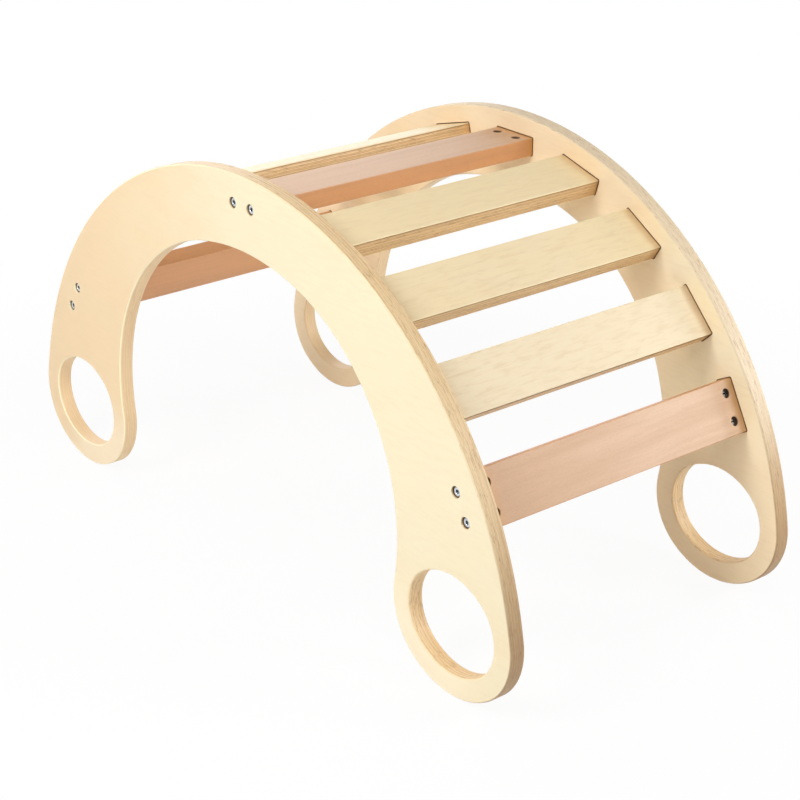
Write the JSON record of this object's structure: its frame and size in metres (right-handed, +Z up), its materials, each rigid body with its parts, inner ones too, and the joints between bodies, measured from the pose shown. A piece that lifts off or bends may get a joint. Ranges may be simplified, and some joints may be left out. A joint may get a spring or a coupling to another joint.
{
  "type": "wooden rocker arch",
  "caption": "Children's rocker and climbing arch: crescent plywood side panels with oval hand holes in the feet, joined by wooden crossbars, some bolted and some housed.",
  "frame": {"origin": "on the floor, at the middle of the footprint", "axes": "+X along the arch, +Y across it from the near panel to the far panel, +Z up"},
  "size_m": [0.8348, 0.39, 0.4399],
  "materials": {
    "panel_plywood": "clear satin lacquer on birch plywood",
    "slat_plywood": "clear satin lacquer on birch plywood",
    "beech": "clear satin lacquer on solid beech",
    "zinc_plated_steel": "bright zinc plating"
  },
  "bodies": {
    "root": {"near_side_panel": "panel_plywood", "far_side_panel": "panel_plywood", "top_beech_bar": "beech", "left_beech_bar": "beech", "right_beech_bar": "beech", "slat_left_upper": "slat_plywood", "slat_left_middle": "slat_plywood", "slat_left_lower": "slat_plywood", "slat_right_upper": "slat_plywood", "slat_right_middle": "slat_plywood", "slat_right_lower": "slat_plywood", "bolts_top_near": "zinc_plated_steel", "bolts_top_far": "zinc_plated_steel", "bolts_left_near": "zinc_plated_steel", "bolts_left_far": "zinc_plated_steel", "bolts_right_near": "zinc_plated_steel", "bolts_right_far": "zinc_plated_steel", "barrel_nuts_top_near": "zinc_plated_steel", "barrel_nuts_top_far": "zinc_plated_steel", "barrel_nuts_left_near": "zinc_plated_steel", "barrel_nuts_left_far": "zinc_plated_steel", "barrel_nuts_right_near": "zinc_plated_steel", "barrel_nuts_right_far": "zinc_plated_steel"}
  },
  "joints": []
}
